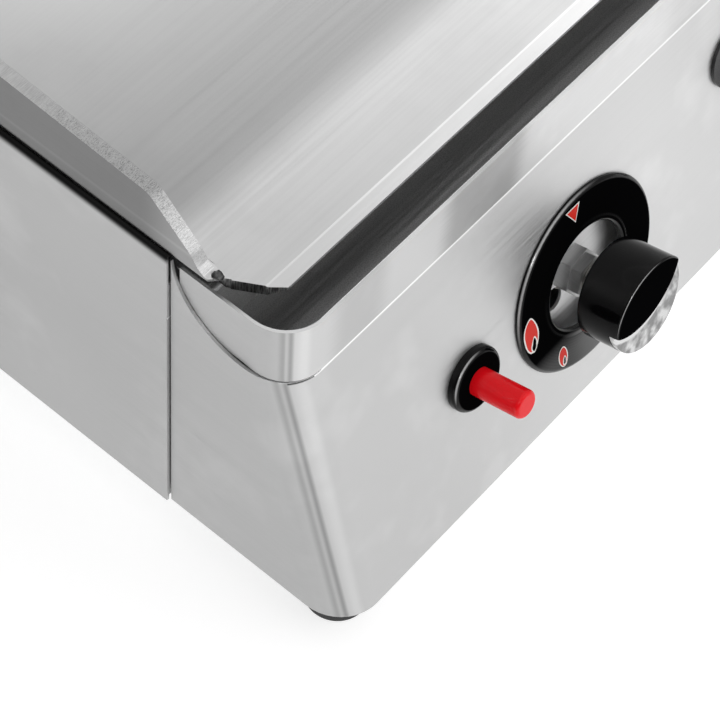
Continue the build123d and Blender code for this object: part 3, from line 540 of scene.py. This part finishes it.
def add_piece(name, vertices, faces, material, smooth=False):
    """Add a piece made here, fixed to the casing."""
    mesh = bpy.data.meshes.new(name)
    mesh.from_pydata(vertices, [], faces)
    mesh.update()
    for polygon in mesh.polygons:
        polygon.use_smooth = smooth
    piece = bpy.data.objects.new(name, mesh)
    bpy.context.scene.collection.objects.link(piece)
    mesh.materials.append(material)
    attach(piece, "casing")


# Weld bead: distance from the middle, depth and height of its centre, and its reach
WELD_X = 0.2948
WELD_DEPTH = 0.0678
WELD_HEIGHT = 0.1571
WELD_REACH = (0.0021, 0.0024, 0.0016)
WELD_SEED = 7


def make_weld(side):
    """Small rough weld at the foot of the plate's side wall."""
    sign = -1 if side == "left" else 1
    rng = random.Random(WELD_SEED)
    reflection_rings, turns = 5, 12
    centre = Vector((sign * WELD_X, CASING_FRONT_Y + WELD_DEPTH, CASING_LOW_Z + WELD_HEIGHT))
    reach = Vector(WELD_REACH)
    vertices = []
    for ring in range(reflection_rings):
        lift = math.pi / 2 * ring / (reflection_rings - 1)
        for turn in range(turns):
            angle = 2 * math.pi * turn / turns
            bulge = rng.uniform(0.78, 1.1)
            vertices.append(centre + Vector((
                reach.x * math.cos(lift) * math.cos(angle) * bulge,
                reach.y * math.cos(lift) * math.sin(angle) * bulge,
                reach.z * math.sin(lift) * bulge,
            )))
    faces = []
    for ring in range(reflection_rings - 1):
        for turn in range(turns):
            a = ring * turns + turn
            b = ring * turns + (turn + 1) % turns
            faces.append([a, b, b + turns, a + turns])
    add_piece(f"weld_{side}", vertices, faces, MATERIALS["weld"], smooth=True)


# Camera, floor and light: name, direction, distance, size and radiance of each soft light
SOFTBOXES = (
    ("overhead", (-0.2, -0.5, 0.9), 1.7, (1.0, 1.0), 0.5),
    ("front_right", (0.5, -0.8, 0.5), 1.9, (1.2, 1.0), 0.9),
    ("back_right", (0.50, 0.66, 0.56), 1.8, (0.16, 0.9), 14.0),
    ("back_left", (0.12, 0.70, 0.70), 1.8, (0.10, 0.7), 5.0),
    ("rim", (-0.52, -0.62, 0.58), 1.6, (0.30, 0.30), 14.0),
)
CAMERA_ANGLES = (-55.15, 56.81, 6.38)
CAMERA_PLACE = (-0.6476, -0.4612, 0.8510)
CAMERA_LENS = 127.92
FLOOR_REACH = 8.0
LIGHT_TARGET = (-0.1, -0.05, 0.1)


def make_camera():
    """Camera at the photo's angle, from its azimuth, elevation and roll."""
    azimuth, elevation, roll = (math.radians(angle) for angle in CAMERA_ANGLES)
    back = Vector((
        math.sin(azimuth) * math.cos(elevation),
        -math.cos(azimuth) * math.cos(elevation),
        math.sin(elevation),
    ))
    right = Vector((0, 0, 1)).cross(back).normalized()
    up = back.cross(right)
    right, up = (
        right * math.cos(roll) + up * math.sin(roll),
        up * math.cos(roll) - right * math.sin(roll),
    )
    data = bpy.data.cameras.new("camera")
    data.lens = CAMERA_LENS
    data.sensor_width = 36.0
    data.clip_end = 20.0
    camera = bpy.data.objects.new("camera", data)
    rotation = Matrix((right, up, back)).transposed().to_4x4()
    camera.matrix_world = Matrix.Translation(CAMERA_PLACE) @ rotation
    bpy.context.scene.collection.objects.link(camera)
    bpy.context.scene.camera = camera


def make_floor():
    """Plain pale floor."""
    mesh = bpy.data.meshes.new("floor")
    s = FLOOR_REACH
    mesh.from_pydata([(-s, -s, 0), (s, -s, 0), (s, s, 0), (-s, s, 0)], [], [(0, 1, 2, 3)])
    floor = bpy.data.objects.new("floor", mesh)
    bpy.context.scene.collection.objects.link(floor)
    material = bpy.data.materials.new("floor")
    material.use_nodes = True
    bsdf = material.node_tree.nodes["Principled BSDF"]
    bsdf.inputs["Base Color"].default_value = (0.55, 0.55, 0.55, 1)
    bsdf.inputs["Roughness"].default_value = 0.8
    bsdf.inputs["Specular IOR Level"].default_value = 0.1
    bsdf.inputs["Emission Color"].default_value = (1, 1, 1, 1)
    bsdf.inputs["Emission Strength"].default_value = 0.70
    mesh.materials.append(material)


def softbox(name, direction, distance, size, radiance):
    """Square or oblong area light that looks at the griddle from a direction."""
    data = bpy.data.lights.new(name, "AREA")
    data.shape = "RECTANGLE"
    data.size, data.size_y = size
    data.energy = radiance * math.pi * size[0] * size[1]
    light = bpy.data.objects.new(name, data)
    toward = Vector(direction).normalized()
    target = Vector(LIGHT_TARGET)
    rotation = toward.to_track_quat("Z", "Y").to_matrix().to_4x4()
    light.matrix_world = Matrix.Translation(target + toward * distance) @ rotation
    bpy.context.scene.collection.objects.link(light)


def make_light():
    """Pale studio world, and the soft lights."""
    world = bpy.data.worlds.new("studio")
    bpy.context.scene.world = world
    world.use_nodes = True
    tree = world.node_tree
    background = tree.nodes["Background"]
    coords = tree.nodes.new("ShaderNodeTexCoord").outputs["Generated"]
    split = tree.nodes.new("ShaderNodeSeparateXYZ")
    tree.links.new(coords, split.inputs[0])
    # darker towards the left, brighter overhead and to the right
    lift = tree.nodes.new("ShaderNodeMapRange")
    lift.interpolation_type = "SMOOTHSTEP"
    set_range(lift, 0.45, 0.85, 0.10, 0.50)
    tree.links.new(split.outputs["Z"], lift.inputs["Value"])
    side = tree.nodes.new("ShaderNodeMapRange")
    side.interpolation_type = "SMOOTHSTEP"
    set_range(side, -0.4, 0.5, 0.0, 0.45)
    tree.links.new(split.outputs["X"], side.inputs["Value"])
    total = tree.nodes.new("ShaderNodeMath")
    total.operation = "ADD"
    tree.links.new(lift.outputs["Result"], total.inputs[0])
    tree.links.new(side.outputs["Result"], total.inputs[1])
    rays = tree.nodes.new("ShaderNodeLightPath")
    choose = tree.nodes.new("ShaderNodeMix")
    choose.data_type = "FLOAT"
    tree.links.new(rays.outputs["Is Camera Ray"], choose.inputs["Factor"])
    tree.links.new(total.outputs[0], choose.inputs["A"])
    choose.inputs["B"].default_value = 1.0
    tree.links.new(choose.outputs["Result"], background.inputs["Strength"])
    background.inputs["Color"].default_value = (1, 1, 1, 1)
    for box in SOFTBOXES:
        softbox(*box)
    bpy.context.scene.view_settings.view_transform = "Standard"


dress_nodes()
for side in DIAL_X:
    make_marks(side)
    make_weld(side)
make_camera()
make_floor()
make_light()
